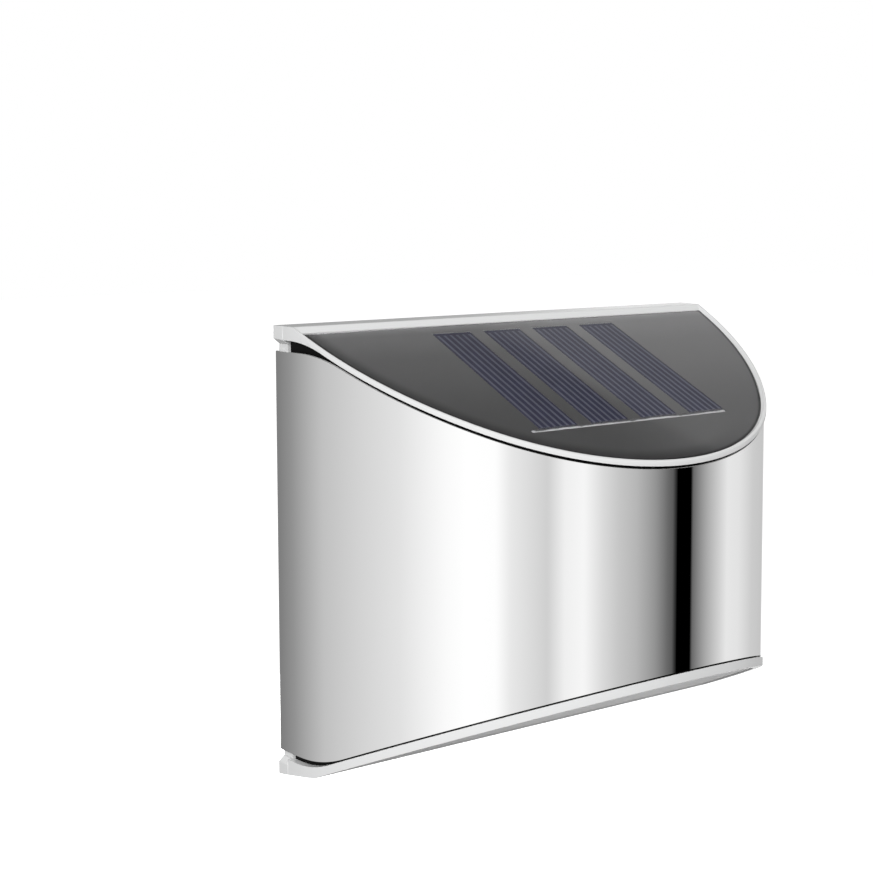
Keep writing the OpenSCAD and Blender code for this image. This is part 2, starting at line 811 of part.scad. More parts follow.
module reflector() {
    color("#f4f4f2") difference() {
        intersection() {
            tall() d_shape(core_in - play, reflector_rear);
            between([[0, led_z], [far, led_z]], [for (p = bottom_ledge) p - [0, play]]);
        }
        translate([0, 0, led_z - reflector_top - 2 * height]) linear_extrude(2 * height)
            d_shape(core_in - play - reflector_wall, reflector_rear + reflector_wall);
        led_places() translate([0, 0, -height / 2])
            cube([led_side + 4 * play, led_side + 4 * play, height], center = true);
        led_screw_places() translate([0, 0, -height])
            cylinder(r = small_head_r + 2 * play, h = height);
    }
}

module led_board() {
    color("#f2f2f0") difference() {
        block(led_board_w, pcb_t, 0, led_z + pcb_t / 2, led_board_rear,
              led_board_rear + led_board_l);
        led_screw_places() translate([0, 0, -cut])
            cylinder(r = small_screw_r + play, h = pcb_t + 2 * cut);
    }
}

module leds() {
    color("#f5dc8c") led_places() translate([-led_side / 2, -led_side / 2, -led_h])
        cube([led_side, led_side, led_h]);
}

module led_screws() {
    color("#a9acb0") led_screw_places() rotate([180, 0, 0])
        screw(small_screw_r, small_head_r, small_head_h, led_screw_l);
}

module control_board() {
    color("#1f5a3a") difference() {
        block(control_w, control_h, 0, control_z, control_rear, control_front);
        control_post_places() rod(small_screw_r + play, control_front + cut);
    }
}

module control_chips() {
    color("#202124") for (c = chips)
        block(c[0], c[1], c[2], control_z + c[3], control_front, control_front + c[4]);
}

module inductor() {
    color("#6b3f22") at(inductor_x, control_front, control_z - parts_drop) rotate([90, 0, 0])
        rotate_extrude() translate([inductor_bore, 0])
            square([inductor_r - inductor_bore, inductor_h]);
}

module capacitor() {
    color("#34495e") at(capacitor_x, control_front, control_z - parts_drop)
        rod(capacitor_r, capacitor_h);
}

module control_screws() {
    color("#a9acb0") control_post_places() at(0, control_front, 0) rotate([90, 0, 0])
        screw(small_screw_r, small_head_r, small_head_h, small_screw_l);
}

module battery() {
    color("#3d8f5f") at(battery_x0, battery_q, battery_z) rotate([0, 90, 0]) {
        cylinder(r = battery_d / 2, h = battery_l - button_l);
        cylinder(r = button_r, h = battery_l);
    }
}

module battery_holder() {
    l = holder_in_l + 2 * holder_wall;
    w = holder_in_w + 2 * holder_wall;
    color("#222326") difference() {
        block(l, holder_wall + battery_d / 2, 0, shelf_z + (holder_wall + battery_d / 2) / 2,
              battery_q - w / 2, battery_q + w / 2);
        block(holder_in_l, battery_d, 0, shelf_z + holder_wall + battery_d / 2,
              battery_q - holder_in_w / 2, battery_q + holder_in_w / 2);
    }
}

// A conical spring in one unbroken wire
module battery_spring() {
    turns = 3;
    sides = 6;
    steps = 12;
    wire = 0.4;
    wide_r = 5.2;
    narrow_r = 2.8;
    last = turns * steps;
    length = spring_room - 2 * wire - 2 * play;
    rings = [for (i = [0:last])
        let (a = 360 * i / steps, r = wide_r - (wide_r - narrow_r) * i / last)
        [for (k = [0:sides - 1]) let (b = 360 * k / sides)
            [wire + play + length * i / last + wire * sin(b), (r + wire * cos(b)) * cos(a),
             (r + wire * cos(b)) * sin(a)]]];
    color("#b9bcc0") at(-holder_in_l / 2, battery_q, battery_z) polyhedron(
        points = [for (ring = rings) each ring],
        faces = concat(
            [[for (k = [sides - 1:-1:0]) k]],
            [[for (k = [0:sides - 1]) last * sides + k]],
            [for (i = [0:last - 1], k = [0:sides - 1]) let (n = (k + 1) % sides)
                each [[i * sides + k, i * sides + n, (i + 1) * sides + k],
                      [i * sides + n, (i + 1) * sides + n, (i + 1) * sides + k]]]));
}

module battery_contact() {
    color("#c9b06a") block(contact_t, contact_side, holder_in_l / 2 - contact_t / 2, battery_z,
                           battery_q - contact_side / 2, battery_q + contact_side / 2);
}

module switch_body() {
    color("#3a3b3e") difference() {
        block(base_room_w + 2 * switch_wall, base_room_h + 2 * switch_wall, 0, switch_z,
              switch_rear, control_rear);
        block(base_room_w, base_room_h, 0, switch_z, switch_rear + switch_wall,
              base_rear + base_t + slide_play);
        block(slot_w, slot_h, 0, switch_z, switch_rear - cut, base_rear);
    }
}

module switch_slider() {
    color("#111214") difference() {
        union() {
            block(cap_w, cap_h, rest_x, switch_z, cap_sink, recess_depth - slide_play);
            block(stem_w, stem_h, rest_x, switch_z, cap_sink, base_rear + base_t);
            block(base_w, base_h, rest_x, switch_z, base_rear, base_rear + base_t);
        }
        for (s = [-1, 0, 1])
            block(groove_w, cap_h + cut, rest_x + s * cap_w / 4, switch_z, 0, cap_sink + groove_t);
    }
}

module housing_screws() {
    color("#a9acb0") boss_places() at(0, screw_head_h, 0) rotate([-90, 0, 0])
        screw(screw_r, screw_head_r, screw_head_h, screw_l);
}

module bottom_screws() {
    color("#a9acb0") bottom() bottom_screw_places() translate([0, 0, bottom_head_z])
        screw(screw_r, screw_head_r, screw_head_h, screw_l);
}

module red_leads() {
    color("#b3261e") {
        lead(panel_route, -lead_gap, [1, 0, 0]);
        lead(lamp_route, -lead_gap, [1, 0, 0]);
        lead(plus_route, 0, [0, 0, 1]);
    }
}

module black_leads() {
    color("#17181a") {
        lead(panel_route, lead_gap, [1, 0, 0]);
        lead(lamp_route, lead_gap, [1, 0, 0]);
        lead(minus_route, 0, [0, 0, 1]);
    }
}

back_plate();
core_housing();
top_frame();
bottom_frame();
steel_shade();
shade_pads();
top_gasket();
bottom_gasket();
rear_gasket();
panel_cover();
solar_cells();
bus_ribbon();
panel_board();
panel_screws();
light_lens();
reflector();
led_board();
leds();
led_screws();
control_board();
control_chips();
inductor();
capacitor();
control_screws();
battery();
battery_holder();
battery_spring();
battery_contact();
switch_body();
switch_slider();
housing_screws();
bottom_screws();
red_leads();
black_leads();
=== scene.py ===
# %% [markdown]
# A solar fence light is a small half-round lamp that hangs on a board or a post. A mirror-polished
# steel sheet bends round a dark core, and two white moulded frames close it above and below. The
# packed construction model already holds every piece at its real size and place, so this lesson
# loads it first. What follows only dresses it: some pieces are modelled again with softer edges
# and finer detail, and every surface gets a finish made of nodes.

# %% Load the construction model
import math

import bmesh
import bpy
from mathutils import Matrix, Vector


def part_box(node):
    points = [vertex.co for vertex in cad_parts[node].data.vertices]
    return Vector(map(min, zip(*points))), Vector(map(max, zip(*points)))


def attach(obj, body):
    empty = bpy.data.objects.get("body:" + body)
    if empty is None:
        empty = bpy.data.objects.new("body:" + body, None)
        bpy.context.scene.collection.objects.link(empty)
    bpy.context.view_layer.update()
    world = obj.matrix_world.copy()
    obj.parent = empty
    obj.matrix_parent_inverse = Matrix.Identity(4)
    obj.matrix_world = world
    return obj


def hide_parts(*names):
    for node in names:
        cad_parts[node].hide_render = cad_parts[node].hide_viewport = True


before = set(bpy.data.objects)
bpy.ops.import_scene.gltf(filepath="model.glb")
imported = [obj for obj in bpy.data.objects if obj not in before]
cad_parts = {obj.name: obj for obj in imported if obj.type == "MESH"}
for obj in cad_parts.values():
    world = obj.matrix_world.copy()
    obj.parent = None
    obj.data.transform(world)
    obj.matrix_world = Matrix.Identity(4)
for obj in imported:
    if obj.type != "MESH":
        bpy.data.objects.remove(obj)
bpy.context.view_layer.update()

# %% [markdown]
# The new pieces have to meet the construction exactly, so they are drawn from the same few sizes.
# X runs along the wall, +Y points into the wall and +Z up. Pieces are modelled in millimetres,
# which are easy to read, and turned into metres when they are finished. The letter q is used for
# the distance from the wall, which is minus Y.

# %% Driving sizes, in millimetres
MM = 0.001
half_h = 45
shade_half_w = 53.6
shade_depth = 60.7
arc_join = math.radians(47)
tilt = math.radians(23.65)
slope = math.tan(tilt)
lean = math.cos(tilt)
play = 0.15

# The plan has one front arc and two side arcs that meet it without a corner
arc_step = (shade_depth - shade_half_w) / (math.sin(arc_join) + math.cos(arc_join) - 1)
side_r = shade_half_w + arc_step * math.sin(arc_join)
front_r = shade_depth - arc_step * math.cos(arc_join)
side_x = side_r - shade_half_w
front_q = shade_depth - front_r

# Top and bottom are level from the wall to their break, then they slope. Both slopes are given
# by their height at the wall if they ran on that far, up from the middle or down from it.
top_break = 6.5
bottom_break = 11.7
bottom_rise = 1.95
top_plane = half_h + slope * top_break
bottom_plane = half_h - bottom_rise + slope * bottom_break

# The lip round the panel, and the pocket inside it in which the smoked cover lies
rim_proud = 0.4
lip_w = 1.1
rear_lip_w = 1.5
cover_sink = 0.5
pocket_off = rim_proud - lip_w
pocket_rear = top_break + rear_lip_w
print(f"side arcs {side_r:.2f} mm, front arc {front_r:.2f} mm, panel plane at {top_plane:.2f} mm")

# %% [markdown]
# The camera comes first, because every finish is judged through it. It stands where the
# photograph was taken from: in front of the light, to its left, a little above it and looking
# slightly down. The lens is long, as in a product photograph, and a small shift places the light
# in the frame without turning the camera.

# %% Camera
photo_size = 873
focal_length = 1714.1
axis_right = 70
axis_up = 90
camera_place = Vector((-0.21952, -0.29323, 0.07218))
camera_heading = math.radians(37.207)
camera_pitch = math.radians(-5.374)

lens = bpy.data.cameras.new("camera")
lens.sensor_width = 36
lens.lens = focal_length / photo_size * lens.sensor_width
lens.shift_x = -axis_right / photo_size
lens.shift_y = -axis_up / photo_size
lens.clip_start = 0.01
camera = bpy.data.objects.new("camera", lens)
camera.location = camera_place
camera.rotation_euler = (math.pi / 2 + camera_pitch, 0, -camera_heading)
bpy.context.scene.collection.objects.link(camera)
bpy.context.scene.camera = camera
bpy.context.scene.view_settings.view_transform = "Standard"
print(f"lens {lens.lens:.1f} mm, shift {lens.shift_x:.3f}, {lens.shift_y:.3f}")

# %% [markdown]
# A finish is a small calculation that runs at every point of a surface. Written as nodes it is
# hard to read, so a class wraps a node's output and lets Python's operators add the Math nodes.
# The reflected forms make 1 - mask work as well as mask - 1.

# %% Shader values as Python expressions
class Value:
    """The output of a node, on which + - * and comparisons add Math nodes."""

    def __init__(self, nodes, socket):
        self.nodes = nodes
        self.socket = socket

    def __add__(self, other):
        return self.nodes.math("ADD", self, other)

    def __sub__(self, other):
        return self.nodes.math("SUBTRACT", self, other)

    def __rsub__(self, other):
        return self.nodes.math("SUBTRACT", other, self)

    def __mul__(self, other):
        return self.nodes.math("MULTIPLY", self, other)

    def __gt__(self, other):
        return self.nodes.math("GREATER_THAN", self, other)

    def __lt__(self, other):
        return self.nodes.math("LESS_THAN", self, other)

    __radd__ = __add__
    __rmul__ = __mul__

    def rise(self, low, high):
        """0 below low, 1 above high and a smooth step between."""
        return self.nodes.node("MapRange", {"interpolation_type": "SMOOTHSTEP"},
                               {0: self, 1: low, 2: high})

    def between(self, low, high):
        """low where the value is 0 and high where it is 1."""
        return self * (high - low) + low


print("values ready")

# %% [markdown]
# All other nodes come from one method, which sets a node's settings first and then its sockets.
# A socket is called by its title, or by its number where several have the same title. Colours
# go through a Mix node, because a Math node would turn them grey.

# %% Nodes in a tree
class Nodes:
    """A node tree and the ways to add to it."""

    def __init__(self, tree):
        self.tree = tree
        tree.nodes.clear()

    def node(self, kind, settings=None, sockets=None, out=0):
        made = self.tree.nodes.new("ShaderNode" + kind)
        for name, setting in (settings or {}).items():
            if name == "stops":
                self.set_stops(made.color_ramp, setting)
            else:
                setattr(made, name, setting)
        for key, value in (sockets or {}).items():
            if isinstance(value, Value):
                self.tree.links.new(value.socket, made.inputs[key])
            else:
                made.inputs[key].default_value = value
        return Value(self, made.outputs[out]) if made.outputs else None

    def set_stops(self, ramp, stops):
        while len(ramp.elements) < len(stops):
            ramp.elements.new(0.5)
        for element, (place, colour) in zip(ramp.elements, stops):
            element.position = place
            element.color = colour

    def math(self, operation, *values):
        return self.node("Math", {"operation": operation}, dict(enumerate(values)))

    def mix(self, factor, first, second):
        return self.node("Mix", {"data_type": "RGBA"}, {0: factor, 6: first, 7: second}, out=2)

    def scale(self, colour, factor):
        return self.node("VectorMath", {"operation": "SCALE"}, {0: colour, "Scale": factor})

    def split(self, vector):
        """The three numbers of a vector."""
        parts = self.node("SeparateXYZ", sockets={0: vector}).socket.node.outputs
        return [Value(self, part) for part in parts]


def grey(level, tint=(1, 1, 1)):
    """A linear colour of one brightness, with a slight tint."""
    return (*(level * t for t in tint), 1)


print("nodes ready, mid grey is", grey(0.5))

# %% [markdown]
# Every finish here is the Principled shader with a few patterns behind it. The patterns read
# Object coordinates, which are metres in the model's own frame because all objects sit at the
# origin. A Mapping node stretches them, so that one noise can be a moulded grain, a polishing
# streak or the drift of a coating. Noise gives about 0.5 on average, and its contrast is kept
# low: at a step's distance a real moulding looks even, and the grain only softens its highlights.

# %% A finish and its patterns
class Finish(Nodes):
    """A material that is being made."""

    def __init__(self, name):
        self.material = bpy.data.materials.new(name)
        self.material.use_nodes = True
        super().__init__(self.material.node_tree)
        self.place = self.node("TexCoord", out="Object")

    def noise(self, size, stretch=(1, 1, 1), detail=2):
        """Soft spots about size millimetres across, longer where stretch is under 1."""
        stretched = self.node("Mapping", {"vector_type": "POINT"},
                              {"Vector": self.place, "Scale": stretch})
        return self.node("TexNoise", sockets={"Vector": stretched, "Detail": detail,
                                              "Scale": 1 / (size * MM)})

    def axes(self):
        """The place of a point as three numbers, in millimetres."""
        return [part * (1 / MM) for part in self.split(self.place)]

    def bump(self, height, depth):
        """A normal that is tilted as if the surface rose by height times depth millimetres."""
        return self.node("Bump", sockets={"Height": height, "Distance": depth * MM})

    def principled(self, **sockets):
        titles = {"ior": "IOR", "specular": "Specular IOR Level"}
        named = {titles.get(name, name.replace("_", " ").title()): value
                 for name, value in sockets.items()}
        return self.node("BsdfPrincipled", sockets=named)

    def done(self, shader):
        self.node("OutputMaterial", sockets={"Surface": shader})
        return self.material


print("finish maker ready")

# %% [markdown]
# Most pieces are one of two kinds. A moulded plastic has an almost even colour, a fine grain
# from the mould and a roughness that wanders a little where it was handled. A metal has its
# colour in its reflection, so its base colour is bright and its character lies in the roughness:
# stretched noise gives the fine streaks that rolling, drawing or polishing leave.

# %% Plastics and metals
handled_share = 0.1
grain_share = 0.06


def mottled(f, mask, colour, share):
    """A colour that is darker by this share where the mask is 0."""
    return f.mix(mask, [c * (1 - share) for c in colour[:3]] + [1], colour)


def plastic(name, colour, rough, grain=0.25, depth=0.004, mottle=0.04, **plain):
    f = Finish(name)
    wander = f.noise(size=9)
    fine = f.noise(grain, detail=3)
    least = rough - (handled_share + grain_share) / 2
    return f.done(f.principled(
        base_color=mottled(f, wander, colour, mottle),
        roughness=wander * handled_share + fine * grain_share + least,
        normal=f.bump(fine, depth), **plain))


def metal(name, colour, rough, streak=(1, 1, 1), size=0.4, depth=0.002, mottle=0.05, bare=1):
    f = Finish(name)
    lines = f.noise(size, streak, detail=3)
    wander = f.noise(size=6)
    return f.done(f.principled(
        base_color=mottled(f, wander, colour, mottle), metallic=bare,
        roughness=lines.between(rough * 0.5, rough * 1.5), normal=f.bump(lines, depth)))


white_plastic = plastic("white_plastic", grey(0.86, tint=(0.995, 1, 1)), rough=0.22, mottle=0.015)
black_plastic = plastic("black_plastic", grey(0.004), rough=0.6, mottle=0.3, specular=0.1)
zinc = metal("zinc_plating", grey(0.62, tint=(1, 1, 1.02)), rough=0.3)
print("made", white_plastic.name, black_plastic.name, zinc.name)

# %% [markdown]
# The sheet is stainless steel, rolled flat, polished to a mirror and bent. What the eye reads as
# its colour is the room: bright and dark bands that run straight down because the sheet bends
# only one way. The finish itself does little. It is a neutral metal with a very low roughness,
# and polishing has left hair-fine upright streaks that only just blur it. The sheared edge of
# the sheet was never polished, so it is a second, duller finish.

# %% Polished steel
def polished_steel():
    f = Finish("polished_steel")
    hair = f.noise(size=0.25, stretch=(1, 1, 0.02), detail=3)
    cloud = f.noise(size=14, stretch=(1, 1, 0.3))
    return f.done(f.principled(
        base_color=f.mix(cloud, grey(0.86), grey(0.89)), metallic=1,
        roughness=hair.between(0, 0.015) + cloud.between(0.005, 0.015),
        normal=f.bump(hair, depth=0.00004)))


steel = polished_steel()
sheared_edge = metal("sheared_edge", grey(0.85), rough=0.4, streak=(1, 1, 0.2), bare=0.3)
print("made", steel.name, sheared_edge.name)

# %% [markdown]
# The panel is read through a smoked, glossy sheet. Its back is printed dark all round the cells,
# so the cells seem to swim in one dark field. Onto the print a shade is painted: a darker ring
# along the curved rim stands for the rim's shadow. On the right the ring is thin and ends at once,
# on the left it fades slowly, which makes it look wide there. Farther in, a painted sheen makes
# the print pale a little from left to right and towards the wall.

# %% Rules of the print and its painted shade and sheen, in millimetres
# The ring along the rim is painted shade, the rim's shadow on the panel. The steps across X and
# towards the wall are a painted sheen.
shade_ring_end = (1.5, 2.1)           # from the rim, where the darkest ring stops
shade_ring_thinner = 0.5              # by how much it is thinner on the right
left_shade_fade = (1.8, 5.5)          # from the rim, how far the ring fades on the left
left_shade_share = 0.6
right_side = (0, 30)            # along X, where the left's rules give way to the right's
sheen_across = (-14, 14)              # along X, where a painted sheen steps the field from dark to pale
sheen_across_rise = 0.047
sheen_towards_wall = (((-48, -20), 0.035), ((-20, -11), 0.03), ((-10.6, -8.2), 0.05))     # along Y
field_grey = 0.06
speckle_share = 0.01
print("the print pales in", len(sheen_towards_wall), "steps towards the wall")

# %% [markdown]
# The distance to the rim is worked out from the arcs that shape the plan: for each arc it is the
# radius less the distance to the arc's centre. The front arc counts only in its own sector,
# because its circle runs inside the plan beside it. The cover itself is a clear shader with a
# little grey in it, and a haze so faint that it only just breaks up the reflections.

# %% Smoked cover and what lies under it
def smoked_clear():
    f = Finish("smoked_clear")
    haze = f.noise(size=5, detail=3)
    return f.done(f.principled(
        base_color=grey(0.62, tint=(0.99, 0.985, 1)), roughness=haze.between(0.01, 0.04), ior=1.49,
        transmission_weight=1.0))


def distance_to_arc(f, x, y, centre_x, centre_y, radius):
    from_x = x - centre_x
    from_y = y - centre_y
    return radius - f.math("SQRT", from_x * from_x + from_y * from_y)


def print_with_painted_light():
    f = Finish("print_with_painted_light")
    x, y, _ = f.axes()
    sides = f.math("MINIMUM", distance_to_arc(f, x, y, side_x, 0, side_r),
                   distance_to_arc(f, x, y, -side_x, 0, side_r))
    in_front = f.math("ABSOLUTE", x) < (y * -1 - front_q) * math.tan(arc_join)
    rim = sides + (distance_to_arc(f, x, y, 0, -front_q, front_r) - sides) * in_front
    # The ring along the rim and its slow fade on the left are painted shade, the rim's shadow.
    right = x.rise(*right_side)
    past_shade_ring = (rim + right * shade_ring_thinner).rise(*shade_ring_end)
    left_shade = (1 - rim.rise(*left_shade_fade)) * (1 - right) * left_shade_share
    painted_rim_shade = past_shade_ring * (1 - left_shade)
    # Paler towards the wall and to the right: a painted sheen over the print's own dark grey.
    painted_sheen = sum(y.rise(*span) * rise for span, rise in sheen_towards_wall)
    speckle = f.noise(size=0.3, detail=3)
    level = field_grey + painted_sheen + x.rise(*sheen_across) * sheen_across_rise + speckle * speckle_share
    return f.done(f.principled(
        base_color=f.mix(level * painted_rim_shade, grey(0.01), grey(1)), roughness=speckle.between(0.5, 0.6),
        normal=f.bump(speckle, depth=0.002)))


smoke = smoked_clear()
print_and_painted_light = print_with_painted_light()
laminate = plastic("board_laminate", grey(0.12, tint=(1, 1, 1.02)), rough=0.55, mottle=0.08)
print("made", smoke.name, print_and_painted_light.name, laminate.name)

# %% [markdown]
# A cheap solar strip is a slice of silicon with a dark blue-violet coating. The coating's colour
# drifts from blue to violet along the strip because its thickness does. Thin lines of silver
# paste gather the current. They are raised a few hundredths of a millimetre and look dull and
# bluish through the smoke. The ribbon that joins the strips is copper dipped in tin, bright but
# never flat.

# %% Silicon, paste and ribbon
crystals_per_metre = 900
crystal_share = 0.25


def silicon():
    f = Finish("cell_silicon")
    blue, violet = (0.012, 0.016, 0.042, 1), (0.02, 0.016, 0.044, 1)
    glint = (0.035, 0.04, 0.075, 1)
    drift = f.noise(size=11, stretch=(1, 0.35, 1))
    crystal = f.node("TexVoronoi", sockets={"Vector": f.place, "Scale": crystals_per_metre},
                     out="Color")
    grain = f.node("SeparateColor", sockets={0: crystal})
    return f.done(f.principled(
        base_color=f.mix(grain * crystal_share, f.mix(drift, blue, violet), glint), roughness=0.4,
        normal=f.bump(grain, depth=0.001)))


wafer = silicon()
paste = plastic("silver_paste", (0.115, 0.12, 0.165, 1), rough=0.5, mottle=0.25)
tin = metal("tinned_copper", grey(0.88), rough=0.4, streak=(0.3, 1, 1), size=0.5, depth=0.01,
            bare=0.3)
print("made", wafer.name, paste.name, tin.name)

# %% [markdown]
# The pieces inside are closed away, but a part that is taken apart shows them, so each has its
# own finish. Four of them are more than an even plastic or metal: the milky lens lets light in a
# little way, the green board has copper runs under its mask, the coil is wound and has painted
# shade between its turns, and the battery is a steel can in a plain shrink sleeve whose two ends
# stay bare.

# %% Lens, board, coil and battery
def milky_lens():
    f = Finish("milky_lens")
    frost = f.noise(size=0.35, detail=3)
    return f.done(f.principled(
        base_color=f.mix(f.noise(size=8), grey(0.78), grey(0.82)),
        roughness=frost.between(0.35, 0.5),
        subsurface_weight=0.3, subsurface_radius=(0.002, 0.002, 0.002), subsurface_scale=1.0,
        normal=f.bump(frost, depth=0.01)))


def green_board():
    f = Finish("green_board")
    mask, mask_on_copper = (0.012, 0.075, 0.03, 1), (0.03, 0.15, 0.05, 1)
    wave = f.node("TexWave", {"wave_profile": "TRI"},
                  {"Vector": f.place, "Scale": 120, "Distortion": 6, "Detail": 0})
    run = wave.rise(0.62, 0.7)
    return f.done(f.principled(
        base_color=f.mix(run, mask, mask_on_copper), roughness=f.noise(size=2).between(0.25, 0.4),
        normal=f.bump(run, depth=0.03)))


def copper_with_painted_turn_shade():
    f = Finish("copper_with_painted_turn_shade")
    # The darker copper between the turns is painted shade in the grooves between the wires.
    between, on_top = (0.25, 0.07, 0.02, 1), (0.65, 0.26, 0.1, 1)
    turns = f.node("TexWave", {"bands_direction": "Z"}, {"Vector": f.place, "Scale": 700})
    return f.done(f.principled(
        base_color=f.mix(turns, between, on_top), metallic=1, roughness=turns.between(0.2, 0.4),
        normal=f.bump(turns, depth=0.05)))


def battery_can(bare_base=0.8, bare_tip=1.9):
    """A sleeved can that lies along X, bare at its ends for these many millimetres."""
    f = Finish("battery_can")
    low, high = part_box("battery")
    x = f.axes()[0]
    bare = f.math("MAXIMUM", x < low.x / MM + bare_base, x > high.x / MM - bare_tip)
    handled = f.noise(size=7)
    sleeve = f.mix(handled, (0.03, 0.2, 0.09, 1), (0.04, 0.25, 0.11, 1))
    return f.done(f.principled(
        base_color=f.mix(bare, sleeve, grey(0.72)), metallic=bare,
        roughness=handled.between(0.22, 0.37)))


inner_finishes = {"light_lens": milky_lens(), "control_board": green_board(),
                  "inductor": copper_with_painted_turn_shade(), "battery": battery_can()}
print("made", ", ".join(sorted(inner_finishes)))

# %% [markdown]
# The rest are plastics and metals in their own colours: the glossy white bowl, the lamps' yellow
# phosphor, the wires' red and black skins. A construction piece that keeps its shape only has
# the material in its slot changed. A later cell reuses the lens finish for the softened lens.

# %% A finish for each construction piece
finishes = {
    **inner_finishes,
    "reflector": plastic("reflector_white", grey(0.88, tint=(1, 1, 0.99)), rough=0.22,
                         mottle=0.02),
    "led_board": plastic("lamp_board_white", grey(0.82, tint=(1, 1, 0.98)), rough=0.4, grain=0.5),
    "leds": plastic("lamp_phosphor", (0.85, 0.62, 0.12, 1), rough=0.25, mottle=0.1),
    "control_chips": plastic("chip_resin", grey(0.02), rough=0.45, grain=0.12, depth=0.01),
    "capacitor": plastic("capacitor_sleeve", (0.015, 0.03, 0.09, 1), rough=0.25),
    "battery_spring": metal("nickel_wire", grey(0.66, tint=(1, 0.98, 0.94)), rough=0.2),
    "battery_contact": metal("plated_brass", (0.72, 0.58, 0.3, 1), rough=0.25,
                             streak=(1, 1, 0.1)),
    "red_leads": plastic("red_insulation", (0.42, 0.012, 0.01, 1), rough=0.4),
    "black_leads": plastic("black_insulation", grey(0.014), rough=0.4),
    "switch_body": plastic("switch_nylon", grey(0.035), rough=0.45),
    "shade_pads": plastic("foam_tape", grey(0.016), rough=0.85, grain=0.5, depth=0.06),
    "panel_board": laminate,
}
for holder in ("battery_holder", "core_housing"):
    finishes[holder] = black_plastic
for screws in ("panel_screws", "led_screws", "control_screws"):
    finishes[screws] = zinc
for seal in ("top_gasket", "bottom_gasket", "rear_gasket"):
    finishes[seal] = plastic(seal + "_silicone", grey(0.012), rough=0.6, mottle=0.3)
slider_nylon = plastic("slider_nylon", grey(0.012), rough=0.42)

for name, material in finishes.items():
    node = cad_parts[name]
    node.data.materials.clear()
    node.data.materials.append(material)
print("finishes set on", len(finishes), "construction pieces")

# %% [markdown]
# New pieces are built in a bmesh, Blender's mesh editor for scripts. This cell turns a finished
# bmesh into an object. The mesh is scaled from millimetres to metres and its place stays in its
# points, so that the object itself sits at the origin. Faces that meet at a shallow angle shade
# smoothly and sharper edges stay crisp.

# %% From bmesh to piece
def make_piece(name, bm, slot, *materials, body="light_body", stands_for=(), crisp=35):
    """Makes the object, hangs it on its body and hides the pieces it stands for. Edges past crisp
    degrees stay sharp.
    """
    bmesh.ops.scale(bm, vec=(MM, MM, MM), verts=bm.verts)
    for face in bm.faces:
        face.smooth = True
    for edge in bm.edges:
        edge.smooth = len(edge.link_faces) == 2 and edge.calc_face_angle() < math.radians(crisp)
    mesh = bpy.data.meshes.new(name)
    bm.to_mesh(mesh)
    bm.free()
    for material in materials:
        mesh.materials.append(material)
    piece = bpy.data.objects.new(name, mesh)
    bpy.context.scene.collection.objects.link(piece)
    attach(piece, body)
    if stands_for:
        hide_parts(*stands_for)
    print(f"{name}: {len(mesh.polygons)} faces")
    return piece


def add_modifier(piece, kind, **settings):
    modifier = piece.modifiers.new(kind.lower(), kind)
    for name, setting in settings.items():
        setattr(modifier, name, setting)


print("piece maker ready")

# %% [markdown]
# The sheet and the layers of the panel share one plan. A point or an upright edge that stands in
# front, in the middle, is spun round the centre of the front arc and then round the centre of a
# side arc, and the half is mirrored. The steps are under one degree, because a mirror shows
# every facet. The cuts that end the sheet have a rule of their own: level at the wall, then an
# arc, then the slope.

# %% The plan as a spun outline
seam_gap = 0.001


def spin_plan(bm, seed, off=0, rear=0, steps=(60, 54)):
    """Spins points or edges that stand in front, in the middle, round the right half of the plan."""
    end = math.acos(rear / (side_r + off))
    turns = ((0, -front_q, arc_join, steps[0]), (-side_x, 0, end - arc_join, steps[1]))
    for x, y, angle, count in turns:
        made = bmesh.ops.spin(bm, geom=seed, cent=(x, y, 0), axis=(0, 0, 1), angle=angle,
                              steps=count, use_duplicate=False, use_merge=False)
        seed = made["geom_last"]


def mirror_half(bm):
    """Adds the left half and closes the seam in the middle."""
    everything = bm.verts[:] + bm.edges[:] + bm.faces[:]
    bmesh.ops.mirror(bm, geom=everything, axis="X", merge_dist=seam_gap)
    bmesh.ops.remove_doubles(bm, verts=bm.verts, dist=seam_gap)


def cut_height(wall_z, front_z, radius, q):
    """Height of an edge that is level at the wall, then an arc, then the slope."""
    start = (front_z - wall_z) / slope - radius * math.tan(tilt / 2)
    if q <= start:
        return wall_z
    if q < start + radius * math.sin(tilt):
        return wall_z - radius + math.sqrt(radius ** 2 - (q - start) ** 2)
    return front_z - slope * q


print("outline helpers ready")

# %% [markdown]
# The sheet is the easiest shape to get wrong, so it is made as the real one is bent: one straight
# upright edge is swept round the plan. The top and bottom point of each upright edge are then
# slid to the height of the cut, which leaves a dark gap between the steel and the white rims.
# Solidify gives the sheet its thickness inwards, with the duller finish on the cut, and Weighted
# Normal keeps the mirror's shading true up to it.

# %% Steel sheet
sheet_t = 0.5
edge_round = 28
top_rim_wall, top_rim_front = 2.77, 1
gap_top_wall, gap_top_front = 2.26, 0.72
bottom_rim_wall, bottom_rim_front = 3.66, 1.84
gap_bottom_wall, gap_bottom_front = 1.37, 0.36
sheet_top = (half_h - top_rim_wall - gap_top_wall, top_plane - top_rim_front - gap_top_front)
sheet_bottom = (half_h - bottom_rim_wall - gap_bottom_wall,
                bottom_plane - bottom_rim_front - gap_bottom_front)

